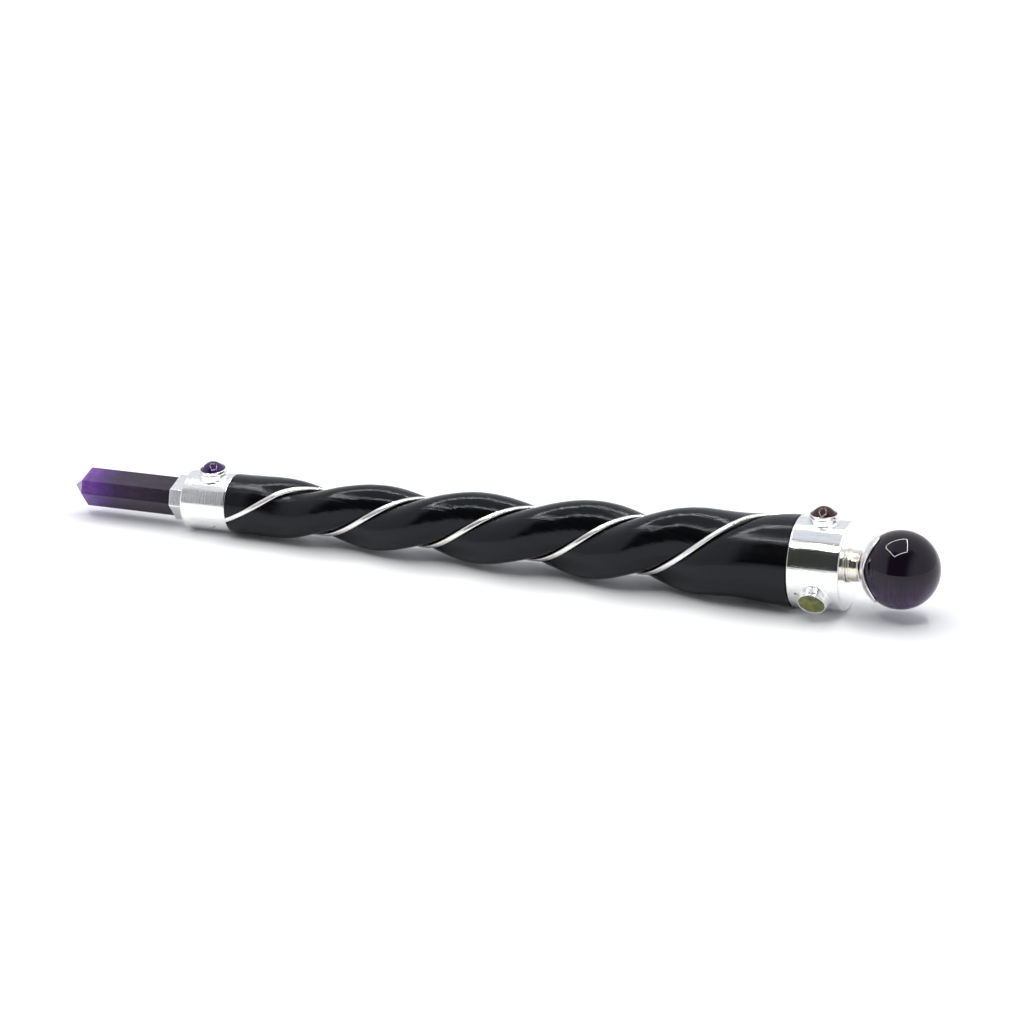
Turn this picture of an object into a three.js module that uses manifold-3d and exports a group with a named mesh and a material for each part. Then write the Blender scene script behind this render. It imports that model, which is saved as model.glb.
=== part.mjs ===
// A crystal wand: a twisted ebony shaft inlaid with two silver wires, a silver ferrule at each end,
// an amethyst point in a six-sided cup and an amethyst ball in a three-petal cup.
//
// Millimetres. Inside the wand, X runs along its axis from the point to the ball, with x = 0 in the
// middle of its length. An azimuth is an angle round the axis: 0 faces the front (-Y), 90 degrees faces up.

import * as THREE from 'three';
import { mergeVertices } from 'three/addons/utils/BufferGeometryUtils.js';
import Module from 'manifold-3d';

const wasm = await Module();
wasm.setup();

const deg = Math.PI / 180;

// ---------------------------------------------------------------- driving dimensions

const gap = 0.15;                   // cement and solder room between neighbouring pieces

const tipX = -121.8;                // end of the amethyst point
const pointShoulderX = -117.3;      // where the point's six faces start to close in
const pointRadius = 5.3;            // to its corners
const pointCorners = [-145, -71, -6, 35, 109, 174];  // opposite faces are parallel, but not equally wide
const tipLean = 0.8;                // the point and its cup are set a little upwards, in degrees
const tipLeanX = -80;

const tipCupRimX = -90;
const tipCupWall = 0.6;
const tipCupBaseX = -84.9;

const frontFerruleX = [-85.5, -72.25];
const frontFerruleRadius = 8.0;
const rearFerruleX = [85.35, 98.6];
const rearFerruleRadius = [11.65, 11.4];  // it narrows a little towards the ball
const ferruleWall = 0.6;
const endDiscThickness = 0.9;
const edgeRound = 0.25;

const woodX = [-72.1, 85.2];        // the visible ebony, between the ferrules
const woodRadius = [7.98, 11.88];
const woodWaist = 0.32;             // how far the taper dips below a straight line
const tenonEndX = [-84.2, 97.2];

const strandOffset = 0.32;          // each strand's centre from the axis, as a share of the wood's radius
const carvingX = [-67, 84];         // the grooves run out to a round shaft at these two places
const carvingRunOut = [21, 32];
const twistRate = 5.95;             // degrees per millimetre in the middle of the shaft
const twistAtMiddle = 24.8;         // azimuth of the first wire at x = 0, apart from the wander
const twistWander = 3.6;            // the hand-laid spacing drifts to and fro by this many degrees
const wanderLength = 64;
const wanderX = -5;
const frontTwistX = -56;            // the twist slows down beyond these two places
const frontTwistSlowing = 0.082;
const rearTwistX = 44;
const rearTwistSlowing = 0.00085;

const wireRadius = 0.63;            // half its width; it is burnished a little flat
const wireHalfHeight = 0.5;
const wireSink = 0.42;              // how far a wire's centre lies below a round surface
const wireEndGap = 0.2;

const stemRadius = 1.0;
const stemX = [88, 107];

const neckRadius = 4.05;
const neckX = [98.75, 101.85];

const ballX = 111.8;
const ballRadius = 10;
const clawWall = 0.5;
const clawAzimuth = 73;             // the first of the three petals
const clawTipAngle = 61.5;          // petal tips and valleys, as angles from the back of the ball
const clawValleyAngle = 38.5;

const tailLean = 1.2;               // the neck, the petal cup and the ball are set a little upwards too
const tailLeanX = 93;

const bezelRadius = 3.65;
const bezelWall = 0.35;
const bezelFootRadius = 3.85;
const bezelFloor = 0.5;             // heights of floor, foot and rim above the ferrule's crown
const bezelFoot = 1.05;
const bezelRim = 1.9;
const cabochonHeight = 1.85;        // above the rim
const facetedHeight = 0.75;
const tableShare = 0.55;            // width of a faceted stone's table against the whole stone

const frontStoneX = -78.2;
const frontStoneAzimuth = 82;
const rearStoneX = 92.0;
const rearStoneAzimuth = 88;

const bradRadius = 0.45;
const bradLength = 2.4;
const frontBradX = -76.25;
const frontBradAzimuth = -40.6;
const rearBradX = 87.6;
const rearBradAzimuth = -25.7;

const turnedSides = 36;
const smallSides = 20;
const shaftRows = 60;
const wireSides = 6;

// ---------------------------------------------------------------- materials

function finish(color, roughness, metalness) {
  return new THREE.MeshStandardMaterial({ color, roughness, metalness });
}

const silver = finish('#dcdcda', 0.12, 1);
const hammeredSilver = finish('#d8ccb4', 0.38, 1);
const ebony = finish('#161517', 0.35, 0);
const amethyst = finish('#4b2c78', 0.08, 0);
const ballAmethyst = finish('#21162c', 0.06, 0);
const garnet = finish('#3b0a12', 0.06, 0);
const peridot = finish('#74802a', 0.08, 0);
const topaz = finish('#5b9fc4', 0.08, 0);
const steel = finish('#8b8b88', 0.35, 1);

// ---------------------------------------------------------------- solids

// Revolves [x, radius] pairs about the X axis, with x rising along the outer wall.
function turned(profile, sides = turnedSides) {
  const points = profile.map(([x, radius]) => new THREE.Vector2(radius, x));
  return new THREE.LatheGeometry(points, sides).rotateZ(-Math.PI / 2);
}

// Revolves [height, radius] pairs about the Z axis, with height rising along the outer wall.
function turnedUpright(profile, sides = smallSides) {
  const points = profile.map(([height, radius]) => new THREE.Vector2(radius, height));
  return new THREE.LatheGeometry(points, sides).rotateX(Math.PI / 2);
}

// A closed skin over rings of points that run round the axis by rising azimuth, the rings in order of x.
// Each end is closed towards the middle of its ring, or the first one towards a point of its own.
function loft(rings, frontPoint = null) {
  const count = rings[0].length;
  const positions = rings.flat().flatMap((point) => point.toArray());
  const indices = [];
  const next = (j) => (j + 1) % count;
  for (let i = 0; i + 1 < rings.length; i += 1) {
    for (let j = 0; j < count; j += 1) {
      const here = i * count;
      const there = here + count;
      indices.push(here + j, there + j, here + next(j));
      indices.push(here + next(j), there + j, there + next(j));
    }
  }
  const middles = [rings[0], rings[rings.length - 1]].map((ring) =>
    ring.reduce((sum, point) => sum.add(point), new THREE.Vector3()).divideScalar(count));
  if (frontPoint) {
    middles[0] = frontPoint;
  }
  positions.push(...middles.flatMap((point) => point.toArray()));
  const startMiddle = rings.length * count;
  const lastRing = startMiddle - count;
  for (let j = 0; j < count; j += 1) {
    indices.push(startMiddle, j, next(j));
    indices.push(startMiddle + 1, lastRing + next(j), lastRing + j);
  }
  const geometry = new THREE.BufferGeometry();
  geometry.setAttribute('position', new THREE.Float32BufferAttribute(positions, 3));
  geometry.setIndex(indices);
  geometry.computeVertexNormals();
  return geometry;
}

function toSolid(geometry) {
  const bare = geometry.clone();
  bare.deleteAttribute('normal');
  bare.deleteAttribute('uv');
  const merged = mergeVertices(bare, 1e-4);
  return new wasm.Manifold(new wasm.Mesh({
    numProp: 3,
    vertProperties: new Float32Array(merged.attributes.position.array),
    triVerts: new Uint32Array(merged.index.array),
  }));
}

function fromSolid(solid) {
  const mesh = solid.getMesh();
  const geometry = new THREE.BufferGeometry();
  geometry.setAttribute('position', new THREE.BufferAttribute(mesh.vertProperties, 3));
  geometry.setIndex(new THREE.BufferAttribute(mesh.triVerts, 1));
  geometry.computeVertexNormals();
  return geometry;
}

function cut(geometry, ...tools) {
  const solid = tools.reduce((rest, tool) => rest.subtract(toSolid(tool)), toSolid(geometry));
  return fromSolid(solid);
}

// ---------------------------------------------------------------- the wand's assembly

const wand = new THREE.Group();

function add(parent, name, geometry, material) {
  const mesh = new THREE.Mesh(geometry, material);
  mesh.name = name;
  parent.add(mesh);
}

// A group at a place on the axis, turned so that its own +Z points outwards at an azimuth.
function outward(x, azimuth) {
  const group = new THREE.Group();
  group.position.set(x, 0, 0);
  group.rotation.x = Math.PI / 2 - azimuth * deg;
  wand.add(group);
  return group;
}

// The same place and turn for a geometry that serves as a cutting tool.
function placedOutward(geometry, x, azimuth) {
  return geometry.rotateX(Math.PI / 2 - azimuth * deg).translate(x, 0, 0);
}

// Turns a geometry upwards (or, below 0, downwards) in front of a place on the axis.
function leaning(geometry, x, degrees) {
  return geometry.translate(-x, 0, 0).rotateY(degrees * deg).translate(x, 0, 0);
}

function leaningTail(geometry) {
  return leaning(geometry, tailLeanX, -tailLean);
}

function aroundAxis(x, radius, azimuth) {
  return new THREE.Vector3(x, -radius * Math.cos(azimuth), radius * Math.sin(azimuth));
}

// ---------------------------------------------------------------- amethyst point and its cup

// The point's six-sided section at one place, with every face moved outwards by the same distance.
function pointSection(x, outwards) {
  const faces = pointCorners.map((azimuth, i) => {
    const before = i === 0 ? pointCorners.at(-1) - 360 : pointCorners[i - 1];
    const halfAngle = (azimuth - before) / 2 * deg;
    return { azimuth: azimuth * deg - halfAngle, distance: pointRadius * Math.cos(halfAngle) + outwards };
  });
  return faces.map(({ azimuth, distance }, i) => {
    const after = faces[(i + 1) % faces.length];
    const between = Math.sin(after.azimuth - azimuth);
    const front = (distance * Math.sin(after.azimuth) - after.distance * Math.sin(azimuth)) / between;
    const up = (after.distance * Math.cos(azimuth) - distance * Math.cos(after.azimuth)) / between;
    return new THREE.Vector3(x, -front, up);
  });
}

function sixSided(startX, endX, outwards, frontPoint = null) {
  const prism = loft([pointSection(startX, outwards), pointSection(endX, outwards)], frontPoint);
  return leaning(prism, tipLeanX, tipLean);
}

const tipCupInside = gap;
const tipCupOutside = gap + tipCupWall;
const tipCupFloorX = tipCupBaseX - tipCupWall;

const pointEnd = new THREE.Vector3(tipX, 0, 0);
add(wand, 'amethyst_point', sixSided(pointShoulderX, tipCupFloorX - gap, 0, pointEnd), amethyst);

const tipCupBlank = sixSided(tipCupRimX, tipCupBaseX, tipCupOutside);
const tipCupHollow = sixSided(tipCupRimX - 1, tipCupFloorX, tipCupInside);
add(wand, 'tip_cup', cut(tipCupBlank, tipCupHollow), silver);

// ---------------------------------------------------------------- ferrules, end discs and brads

function bradHole(x, azimuth, ferruleRadius) {
  const depth = bradLength + gap;
  const bottom = ferruleRadius - depth;
  const hole = turnedUpright([
    [bottom, 0],
    [bottom, bradRadius + gap],
    [ferruleRadius + 1, bradRadius + gap],
    [ferruleRadius + 1, 0],
  ], 12);
  return placedOutward(hole, x, azimuth);
}

function bradHoles(x, azimuth, ferruleRadius) {
  return [0, 180].map((turn) => bradHole(x, azimuth + turn, ferruleRadius));
}

function ferrule([startX, endX], [startRadius, endRadius], holes) {
  const tube = turned([
    [startX, startRadius - ferruleWall],
    [startX, startRadius - edgeRound],
    [startX + edgeRound, startRadius],
    [endX - edgeRound, endRadius],
    [endX, endRadius - edgeRound],
    [endX, endRadius - ferruleWall],
    [startX, startRadius - ferruleWall],
  ]);
  return cut(tube, ...holes);
}

function addBrads(prefix, x, azimuth, ferruleRadius) {
  for (const [index, turn] of [0, 180].entries()) {
    const brad = turnedUpright([
      [ferruleRadius - bradLength, 0],
      [ferruleRadius - 0.6, bradRadius],
      [ferruleRadius - 0.1, bradRadius],
      [ferruleRadius, bradRadius - 0.1],
      [ferruleRadius, 0],
    ], 12);
    add(outward(x, azimuth + turn), `${prefix}_brad_${index + 1}`, brad, steel);
  }
}

const frontBradHoles = () => bradHoles(frontBradX, frontBradAzimuth, frontFerruleRadius);
const rearBradHoles = () => bradHoles(rearBradX, rearBradAzimuth, rearFerruleRadius[0]);

add(wand, 'front_ferrule', ferrule(frontFerruleX, [frontFerruleRadius, frontFerruleRadius],
  frontBradHoles()), silver);
add(wand, 'rear_ferrule', ferrule(rearFerruleX, rearFerruleRadius, rearBradHoles()), silver);
addBrads('front', frontBradX, frontBradAzimuth, frontFerruleRadius);
addBrads('rear', rearBradX, rearBradAzimuth, rearFerruleRadius[0]);

// The front disc has a six-sided window for the tip cup, and the rear one a round hole for the stem.
const frontDiscRadius = frontFerruleRadius - ferruleWall - gap;
const frontDiscX = frontFerruleX[0];
const cupWindow = sixSided(tipCupRimX, tipCupBaseX + 3, tipCupOutside + gap);
add(wand, 'front_end_disc', cut(turned([
  [frontDiscX, 0],
  [frontDiscX, frontDiscRadius],
  [frontDiscX + endDiscThickness, frontDiscRadius],
  [frontDiscX + endDiscThickness, 0],
]), cupWindow), silver);

const stemHole = stemRadius + gap;
const rearDiscRadius = rearFerruleRadius[1] - ferruleWall - gap;
const rearDiscX = rearFerruleX[1] - endDiscThickness;
add(wand, 'rear_end_disc', turned([
  [rearDiscX, stemHole],
  [rearDiscX, rearDiscRadius],
  [rearFerruleX[1], rearDiscRadius],
  [rearFerruleX[1], stemHole],
  [rearDiscX, stemHole],
]), silver);

// ---------------------------------------------------------------- stones in their bezels

function addStone(parent, name, ferruleRadius, stoneMaterial, faceted) {
  const floor = ferruleRadius + bezelFloor;
  const rim = ferruleRadius + bezelRim;
  const inside = bezelRadius - bezelWall;
  const bezelBlank = turnedUpright([
    [ferruleRadius - 3, 0],
    [ferruleRadius - 3, bezelFootRadius],
    [ferruleRadius + bezelFoot, bezelFootRadius],
    [ferruleRadius + bezelFoot, bezelRadius],
    [rim - 0.2, bezelRadius],
    [rim, bezelRadius - 0.15],
    [rim, inside],
    [floor, inside],
    [floor, 0],
  ]);
  const seat = turned([
    [-2 * bezelRadius, 0],
    [-2 * bezelRadius, ferruleRadius + gap],
    [2 * bezelRadius, ferruleRadius + gap],
    [2 * bezelRadius, 0],
  ]);
  add(parent, `${name}_bezel`, cut(bezelBlank, seat), silver);
  const girdle = inside - gap;
  const crown = faceted
    ? [[rim - 0.15, girdle], [rim + facetedHeight, girdle * tableShare], [rim + facetedHeight, 0]]
    : domeOver(rim - 0.15, girdle, cabochonHeight + 0.15);
  add(parent, name, turnedUpright([
    [floor + gap, 0],
    [floor + gap, girdle],
    ...crown,
  ], faceted ? 8 : smallSides), stoneMaterial);
}

function domeOver(base, radius, height) {
  const steps = 6;
  return Array.from({ length: steps + 1 }, (_, i) => {
    const share = 1 - i / steps;
    return [base + height * (1 - share ** 2), radius * share];
  });
}

addStone(outward(frontStoneX, frontStoneAzimuth), 'amethyst_cabochon', frontFerruleRadius, amethyst, false);
const rearStones = [
  ['garnet_cabochon', garnet, false],
  ['peridot', peridot, true],
  ['blue_topaz', topaz, true],
];
for (const [index, [name, material, faceted]] of rearStones.entries()) {
  const azimuth = rearStoneAzimuth - 120 * index;
  const ferruleRadius = THREE.MathUtils.mapLinear(rearStoneX, ...rearFerruleX, ...rearFerruleRadius);
  addStone(outward(rearStoneX, azimuth), name, ferruleRadius + 0.05, material, faceted);
}

// ---------------------------------------------------------------- twisted shaft and inlaid wires

function woodCrestRadius(x) {
  const along = THREE.MathUtils.clamp((x - woodX[0]) / (woodX[1] - woodX[0]), 0, 1);
  return THREE.MathUtils.lerp(...woodRadius, along) - woodWaist * Math.sin(Math.PI * along);
}

// 0 where the shaft is round and 1 where it is fully carved into two strands.
function carving(x) {
  const front = THREE.MathUtils.smoothstep(x, carvingX[0], carvingX[0] + carvingRunOut[0]);
  const rear = 1 - THREE.MathUtils.smoothstep(x, carvingX[1] - carvingRunOut[1], carvingX[1]);
  return front * rear;
}

function twist(x) {
  const front = Math.max(0, frontTwistX - x);
  const rear = Math.max(0, x - rearTwistX);
  const wander = twistWander * Math.cos(2 * Math.PI * (x - wanderX) / wanderLength);
  const steady = twistAtMiddle + twistRate * x;
  return (steady + wander + frontTwistSlowing * front ** 2 - rearTwistSlowing * rear ** 3) * deg;
}

function twistPerMillimetre(x) {
  return (twist(x + 0.01) - twist(x - 0.01)) / 0.02;
}

// The shaft at one place along its length: two round strands side by side, with a wire in each groove.
function shaftSection(x) {
  const crest = woodCrestRadius(x);
  const offset = crest * strandOffset * carving(x);
  const strand = crest - offset;
  const nested = Math.sqrt((strand + wireRadius + gap) ** 2 - offset ** 2);
  const wireCentre = Math.min(nested, crest - wireSink);
  const wireStretch = Math.hypot(1, wireCentre * twistPerMillimetre(x));
  const surface = (fromGroove) =>
    offset * Math.sin(fromGroove) + Math.sqrt(strand ** 2 - (offset * Math.cos(fromGroove)) ** 2);
  return { x, wireCentre, wireStretch, surface, turn: twist(x) };
}

// Angle and radius from a groove to the next crest: three points down in the wire's seat, then the strand.
const seatSteps = 2;
const strandSteps = 5;
const quarterSteps = seatSteps + 1 + strandSteps;

function quarterPoint(section, step) {
  if (step <= seatSteps) {
    const round = (step / seatSteps) * (Math.PI / 2);
    const out = section.wireCentre - (wireHalfHeight + gap) * Math.cos(round);
    const aside = (wireRadius + gap) * section.wireStretch * Math.sin(round);
    const angle = Math.atan2(aside, out);
    return { angle, radius: Math.min(Math.hypot(out, aside), section.surface(angle)) };
  }
  const seatEdge = quarterPoint(section, seatSteps).angle + 0.01;
  const share = (step - seatSteps - 1) / strandSteps;
  const angle = THREE.MathUtils.lerp(seatEdge, Math.PI / 2, share);
  return { angle, radius: section.surface(angle) };
}

function shaftRing(x, fixedRadius = null) {
  const section = shaftSection(x);
  const ring = [];
  for (let half = 0; half < 2; half += 1) {
    for (let step = 0; step < 2 * quarterSteps; step += 1) {
      const falling = step > quarterSteps;
      const point = quarterPoint(section, falling ? 2 * quarterSteps - step : step);
      const angle = falling ? Math.PI - point.angle : point.angle;
      const azimuth = section.turn + half * Math.PI + angle;
      ring.push(aroundAxis(x, fixedRadius ?? point.radius, azimuth));
    }
  }
  return ring;
}

const rowsX = Array.from({ length: shaftRows + 1 }, (_, i) => THREE.MathUtils.lerp(...woodX, i / shaftRows));
const frontTenonRadius = frontFerruleRadius - ferruleWall - gap;
const rearTenonRadius = rearFerruleRadius.map((radius) => radius - ferruleWall - gap);

const shaftBlank = loft([
  shaftRing(tenonEndX[0], frontTenonRadius),
  shaftRing(woodX[0], frontTenonRadius),
  ...rowsX.map((x) => shaftRing(x)),
  shaftRing(woodX[1], rearTenonRadius[0]),
  shaftRing(tenonEndX[1], rearTenonRadius[1]),
]);

const stemSocket = turned([
  [stemX[0] - gap, 0],
  [stemX[0] - gap, stemHole],
  [tenonEndX[1] + 1, stemHole],
  [tenonEndX[1] + 1, 0],
], 16);
add(wand, 'shaft', cut(shaftBlank, stemSocket, ...frontBradHoles(), ...rearBradHoles()), ebony);

function wire(halfTurn) {
  const places = [woodX[0] + wireEndGap, ...rowsX.slice(1, -1), woodX[1] - wireEndGap];
  return loft(places.map((x) => {
    const section = shaftSection(x);
    const azimuth = section.turn + halfTurn;
    const outwards = aroundAxis(0, 1, azimuth);
    const sideways = aroundAxis(0, 1, azimuth + Math.PI / 2);
    return Array.from({ length: wireSides }, (_, i) => {
      const round = (i / wireSides) * 2 * Math.PI;
      return new THREE.Vector3(x, 0, 0)
        .addScaledVector(outwards, section.wireCentre + wireHalfHeight * Math.cos(round))
        .addScaledVector(sideways, wireRadius * section.wireStretch * Math.sin(round));
    });
  }));
}

add(wand, 'wire_1', wire(0), silver);
add(wand, 'wire_2', wire(Math.PI), silver);

// ---------------------------------------------------------------- neck, stem, petal cup and ball

add(wand, 'neck', leaningTail(turned([
  [neckX[0], stemHole],
  [neckX[0], neckRadius],
  [neckX[1], neckRadius],
  [neckX[1] - 0.85, stemHole],
  [neckX[0], stemHole],
])), hammeredSilver);

add(wand, 'stem', leaningTail(turned([
  [stemX[0], 0],
  [stemX[0], stemRadius],
  [stemX[1], stemRadius],
  [stemX[1], 0],
], 16)), steel);

// An arc of the ball's outline, as angles from its back pole.
function ballArc(radius, fromAngle, toAngle, steps) {
  return Array.from({ length: steps + 1 }, (_, i) => {
    const angle = THREE.MathUtils.lerp(fromAngle, toAngle, i / steps);
    return [ballX - radius * Math.cos(angle), radius * Math.sin(angle)];
  });
}

// The cup is a shell round the back of the ball. It is turned first, up to the petals' tips, and each
// point is then drawn back towards the pole so that the edge falls to a valley between two petals.
function petalCup() {
  const inner = ballRadius + gap;
  const outer = inner + clawWall;
  const steps = 6;
  const holeAngle = Math.asin(stemHole / inner);
  const tip = clawTipAngle * deg;
  const outerArc = ballArc(outer, holeAngle, tip, steps);
  const innerArc = ballArc(inner, tip, holeAngle, steps);
  const geometry = turned([...outerArc, ...innerArc, outerArc[0]], 48);
  const position = geometry.attributes.position;
  const point = new THREE.Vector3();
  for (let i = 0; i < position.count; i += 1) {
    point.fromBufferAttribute(position, i);
    const azimuth = Math.atan2(point.z, -point.y);
    const distance = Math.hypot(point.x - ballX, point.y, point.z);
    const angle = Math.acos((ballX - point.x) / distance);
    const share = (angle - holeAngle) / (tip - holeAngle);
    const edge = petalEdge(azimuth);
    const moved = holeAngle + share * (edge - holeAngle);
    const placed = aroundAxis(ballX - distance * Math.cos(moved), distance * Math.sin(moved), azimuth);
    position.setXYZ(i, placed.x, placed.y, placed.z);
  }
  return geometry;
}

function petalEdge(azimuth) {
  const turns = (azimuth / deg - clawAzimuth) / 120;
  const fromTip = Math.abs(turns - Math.round(turns)) * 2;
  const fall = Math.sin(fromTip * (Math.PI / 2)) ** 1.5;
  return (clawTipAngle - (clawTipAngle - clawValleyAngle) * fall) * deg;
}

add(wand, 'petal_cup', leaningTail(petalCup()), silver);

const ballSocketAngle = Math.asin(stemHole / ballRadius);
const ballOutline = ballArc(ballRadius, ballSocketAngle, Math.PI, 15);
ballOutline[ballOutline.length - 1][1] = 0;
add(wand, 'ball', leaningTail(turned([
  [stemX[1] + gap, 0],
  [stemX[1] + gap, stemHole],
  ...ballOutline,
], 32)), ballAmethyst);

// ---------------------------------------------------------------- at rest on a table

// The wand lies on the front edge of the front ferrule and on the thick end of the wood, so it leans
// down towards the point. Its lowest point is at z = 0 and its box is centred on the origin.
const leanRise = woodRadius[1] - frontFerruleRadius;
const leanRun = woodX[1] - frontFerruleX[0];
wand.rotation.y = -Math.atan(leanRise / leanRun);

const part = new THREE.Group();
part.add(wand);
part.updateMatrixWorld(true);
const box = new THREE.Box3().setFromObject(part, true);
wand.position.set(-(box.min.x + box.max.x) / 2, -(box.min.y + box.max.y) / 2, -box.min.z);
part.updateMatrixWorld(true);

export default part;
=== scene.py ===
"""The looks of a crystal wand that lies on a white table: ebony, silver and gemstones.

Lengths are millimetres in the wand's own coordinates: X runs along its axis from the crystal point to the
ball, with 0 in the middle, and an azimuth is an angle round the axis, 0 facing the front and 90 degrees up.
"""

import math

import bmesh
import bpy
import numpy as np
from mathutils import Matrix, Vector, noise


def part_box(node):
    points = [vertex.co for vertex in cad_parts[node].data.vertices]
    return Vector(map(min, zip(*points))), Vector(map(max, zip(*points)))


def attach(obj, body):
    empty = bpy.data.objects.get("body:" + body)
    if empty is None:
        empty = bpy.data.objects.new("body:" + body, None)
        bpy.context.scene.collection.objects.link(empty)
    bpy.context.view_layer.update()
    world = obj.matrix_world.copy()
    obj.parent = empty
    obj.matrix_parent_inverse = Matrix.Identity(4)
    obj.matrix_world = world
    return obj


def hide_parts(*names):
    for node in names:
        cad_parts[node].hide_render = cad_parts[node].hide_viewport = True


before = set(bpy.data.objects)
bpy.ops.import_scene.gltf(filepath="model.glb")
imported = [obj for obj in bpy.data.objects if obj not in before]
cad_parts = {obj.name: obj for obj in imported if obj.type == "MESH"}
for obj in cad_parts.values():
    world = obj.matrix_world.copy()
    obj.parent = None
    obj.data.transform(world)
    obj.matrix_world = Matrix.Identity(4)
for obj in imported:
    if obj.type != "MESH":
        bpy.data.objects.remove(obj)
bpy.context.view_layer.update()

# ------------------------------------------------------------------ dimensions

MM = 0.001

POINT_TIP_X = -121.8
POINT_SHOULDER_X = -117.3
POINT_BASE_X = -85.7
POINT_RADIUS = 5.3
POINT_CORNERS = (-145, -71, -6, 35, 109, 174)
TIP_LEAN = 0.8
TIP_LEAN_X = -80

TIP_CUP_X = (-90, -84.9)
TIP_CUP_WALL = 0.6
TIP_CUP_RIM_ROUND = 0.25
GAP = 0.15

FRONT_FERRULE_X = (-85.5, -72.15)
FRONT_FERRULE_RADIUS = 8.0
REAR_FERRULE_X = (85.25, 98.6)
REAR_FERRULE_RADIUS = (11.65, 11.4)
FERRULE_WALL = 0.6
DISC_THICKNESS = 0.9

WOOD_X = (-72.1, 85.2)
WOOD_RADIUS = (7.98, 11.88)
WOOD_WAIST = 0.32
TENON_END_X = (-84.2, 97.2)
TENON_GAP = 0.1
STRAND_OFFSET = 0.32
CARVING_X = (-67, 84)
CARVING_RUN_OUT = (21, 32)
TWIST_RATE = 5.95
TWIST_AT_MIDDLE = 24.8
TWIST_WANDER = 3.6
WANDER_LENGTH = 64
WANDER_X = -5
FRONT_TWIST_X = -56
FRONT_TWIST_SLOWING = 0.082
REAR_TWIST_X = 44
REAR_TWIST_SLOWING = 0.00085

WIRE_RADIUS = 0.63
WIRE_HALF_WIDTH = 0.72
WIRE_HALF_HEIGHT = 0.5
WIRE_SINK = 0.42

NECK_X = (98.65, 102.0)
NECK_RADIUS = 4.05
NECK_FLANGE = (0.35, 0.55)
NECK_ROUND = 0.2
STEM_HOLE_RADIUS = 1.2

BALL_X = 111.8
BALL_RADIUS = 10
SOCKET_RADIUS = 1.15
SOCKET_DEPTH = 5.4
CLAW_COUNT = 3
CLAW_WALL = 0.5
CLAW_GAP = 0.03
CLAW_HOLE = 0.12
CLAW_AZIMUTH = 73
CLAW_TIP_ANGLE = 61.5
CLAW_VALLEY_ANGLE = 38.5

TAIL_LEAN = 1.2
TAIL_LEAN_X = 93

BEZEL_RADIUS = 3.65
BEZEL_INSIDE = 3.28
BEZEL_FOOT_RADIUS = 3.88
BEZEL_FLOOR = 0.5
BEZEL_FOOT = 1.05
BEZEL_RIM = 1.9
BEZEL_STEP_ROUND = 0.12
SOLDER_WIDTH = 0.4
SOLDER_HEIGHT = 0.3
DOME_HEIGHT = 1.85

FRONT_STONE_X = -78.2
FRONT_STONE_AZIMUTH = 82
REAR_STONE_X = 92.0
REAR_STONE_AZIMUTH = 88

# ------------------------------------------------------------------ the wand's place

REAR_DISC_MIDDLE_X = 98.15

LEAN = math.atan((WOOD_RADIUS[1] - FRONT_FERRULE_RADIUS) / (WOOD_X[1] - FRONT_FERRULE_X[0]))
rear_disc_middle = sum((Vector(corner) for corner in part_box("rear_end_disc")), Vector()) / 2
WAND = (Matrix.Translation(rear_disc_middle) @ Matrix.Rotation(-LEAN, 4, "Y") @ Matrix.Scale(MM, 4)
        @ Matrix.Translation((-REAR_DISC_MIDDLE_X, 0, 0)))


def leaning(x, degrees):
    """Turns what lies in front of a place on the axis upwards, and what lies behind it downwards."""
    turn = Matrix.Rotation(math.radians(degrees), 4, "Y")
    return Matrix.Translation((x, 0, 0)) @ turn @ Matrix.Translation((-x, 0, 0))


TIP = leaning(TIP_LEAN_X, TIP_LEAN)
TAIL = leaning(TAIL_LEAN_X, -TAIL_LEAN)


def outward(x, azimuth):
    """A frame on the axis: its own X points outwards at an azimuth, its Y runs round the wand."""
    angle = math.radians(azimuth)
    out = Vector((0, -math.cos(angle), math.sin(angle)))
    around = Vector((0, math.sin(angle), math.cos(angle)))
    back = Vector((-1, 0, 0))
    turned = Matrix((out, around, back)).transposed().to_4x4()
    return Matrix.Translation((x, 0, 0)) @ turned


def around_axis(x, radius, azimuth):
    """Points at a distance from the axis, as an array; the azimuth is in radians."""
    x, radius, azimuth = np.broadcast_arrays(x, radius, azimuth)
    return np.stack([x, -radius * np.cos(azimuth), radius * np.sin(azimuth)], axis=-1).astype(float)


def smoothstep(low, high, value):
    """Rises smoothly from 0 at low to 1 at high."""
    share = np.clip((value - low) / (high - low), 0, 1)
    return share * share * (3 - 2 * share)


# ------------------------------------------------------------------ mesh making


def rounded(corners, steps=4):
    """Rounds an outline's corners, each (x, radius, size of its round); a size of 0 stays sharp."""
    closed = corners[0][:2] == corners[-1][:2]
    outline = corners[:-1] if closed else corners
    count = len(outline)
    points = []
    for i, (x, r, size) in enumerate(outline):
        here = np.array((x, r), float)
        if size == 0 or (not closed and i in (0, count - 1)):
            points.append(here)
            continue
        before = np.array(outline[i - 1][:2], float) - here
        after = np.array(outline[(i + 1) % count][:2], float) - here
        reach = [min(size, 0.45 * np.linalg.norm(side)) for side in (before, after)]
        start = here + before / np.linalg.norm(before) * reach[0]
        end = here + after / np.linalg.norm(after) * reach[1]
        for t in np.linspace(0, 1, steps + 1):
            points.append((1 - t) ** 2 * start + 2 * t * (1 - t) * here + t**2 * end)
    if closed:
        points.append(points[0])
    return points


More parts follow.
